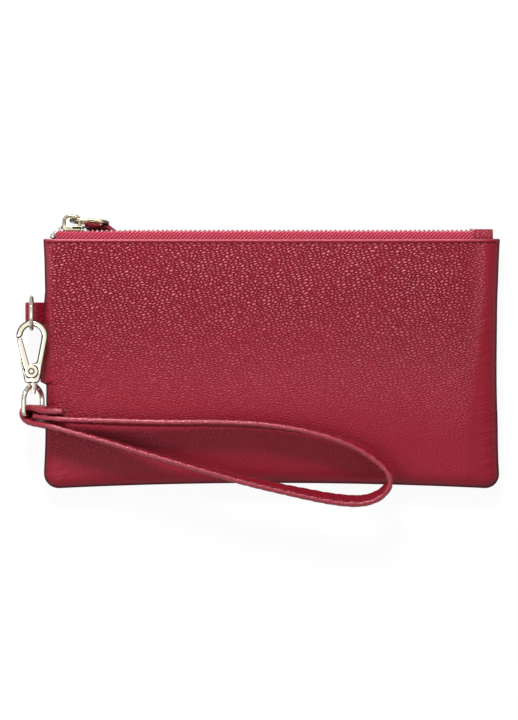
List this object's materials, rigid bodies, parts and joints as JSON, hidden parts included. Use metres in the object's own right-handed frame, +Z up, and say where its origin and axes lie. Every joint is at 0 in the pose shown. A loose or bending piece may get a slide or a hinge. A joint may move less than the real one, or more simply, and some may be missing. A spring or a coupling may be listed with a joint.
{
  "type": "zippered pouch",
  "caption": "Flat leather wristlet pouch with a metal zip along its long edge, a side loop, a ring, a trigger snap with a swivel eye and a narrow wrist strap.",
  "frame": {"origin": "middle of the flat resting face on the rear panel", "axes": "+X along the zip towards the leather end tab, +Y towards the zip, +Z up out of the front panel"},
  "size_m": [0.2119, 0.1278, 0.0278],
  "materials": {
    "leather_panel": "pebbled leather with a soft sheen",
    "leather_trim": "smooth leather, edges painted",
    "interfacing": "pressed fibre board",
    "lining": "plain woven lining",
    "zip_tape": "woven twill zip tape",
    "gold_metal": "polished pale gold plating",
    "spring_steel": "drawn wire"
  },
  "bodies": {
    "pouch": {"front_panel": "leather_panel", "rear_panel": "leather_panel", "front_interfacing": "interfacing", "rear_interfacing": "interfacing", "front_lining": "lining", "rear_lining": "lining", "zip_tape_front": "zip_tape", "zip_tape_rear": "zip_tape", "zip_teeth_front": "gold_metal", "zip_teeth_rear": "gold_metal", "zip_top_stop_front": "gold_metal", "zip_top_stop_rear": "gold_metal", "zip_bottom_stop": "gold_metal", "zip_end_tab": "leather_trim"},
    "slider": {"slider_body": "gold_metal"},
    "pull_ring": {"pull_ring": "gold_metal"},
    "pull_tab": {"pull_tab": "leather_trim"},
    "side_loop": {"side_loop": "leather_trim"},
    "loop_ring": {"loop_ring": "gold_metal"},
    "snap_hook": {"hook_body": "gold_metal", "gate_rivet": "gold_metal", "gate_spring": "spring_steel", "swivel_rivet": "gold_metal"},
    "snap_gate": {"hook_gate": "gold_metal"},
    "swivel_eye": {"swivel_eye": "gold_metal"},
    "wrist_strap": {"wrist_strap": "leather_trim"}
  },
  "joints": [
    {"name": "zip_slide", "type": "slide", "parent": "pouch", "child": "slider", "axis": [1, 0, 0], "range_m": [0, 0.168]},
    {"name": "pull_ring_hinge", "type": "hinge", "parent": "slider", "child": "pull_ring", "pos_m": [-0.088, 0.0625, 0.007], "axis": [0, 0, 1], "range_deg": [0, 120]},
    {"name": "pull_tab_hinge", "type": "hinge", "parent": "pull_ring", "child": "pull_tab", "pos_m": [-0.08241, 0.06161, 0.00344], "axis": [0.9976, -0.0698, 0], "range_deg": [0, 110]},
    {"name": "side_loop_hinge", "type": "hinge", "parent": "pouch", "child": "side_loop", "pos_m": [-0.1004, 0.0218, 0.007], "axis": [0, -1, 0], "range_deg": [0, 60]},
    {"name": "ring_turn", "type": "hinge", "parent": "side_loop", "child": "loop_ring", "pos_m": [-0.1055, 0.0218, 0.0159], "axis": [-1, 0, 0], "range_deg": [0, 60]},
    {"name": "snap_swing", "type": "hinge", "parent": "loop_ring", "child": "snap_hook", "pos_m": [-0.10525, 0.01745, 0.0159], "axis": [-1, 0, 0], "range_deg": [0, 35]},
    {"name": "gate_hinge", "type": "hinge", "parent": "snap_hook", "child": "snap_gate", "pos_m": [-0.10555, -0.0036, 0.0159], "axis": [0, 0, -1], "range_deg": [0, 20], "stiffness_Nm_per_rad": 0.05},
    {"name": "eye_swivel", "type": "hinge", "parent": "snap_hook", "child": "swivel_eye", "pos_m": [-0.1049, -0.01005, 0.0159], "axis": [0, -1, 0], "range_deg": [0, 150]},
    {"name": "strap_swing", "type": "hinge", "parent": "swivel_eye", "child": "wrist_strap", "pos_m": [-0.1049, -0.02235, 0.0159], "axis": [0.6, 0, -0.8], "range_deg": [0, 15]}
  ]
}
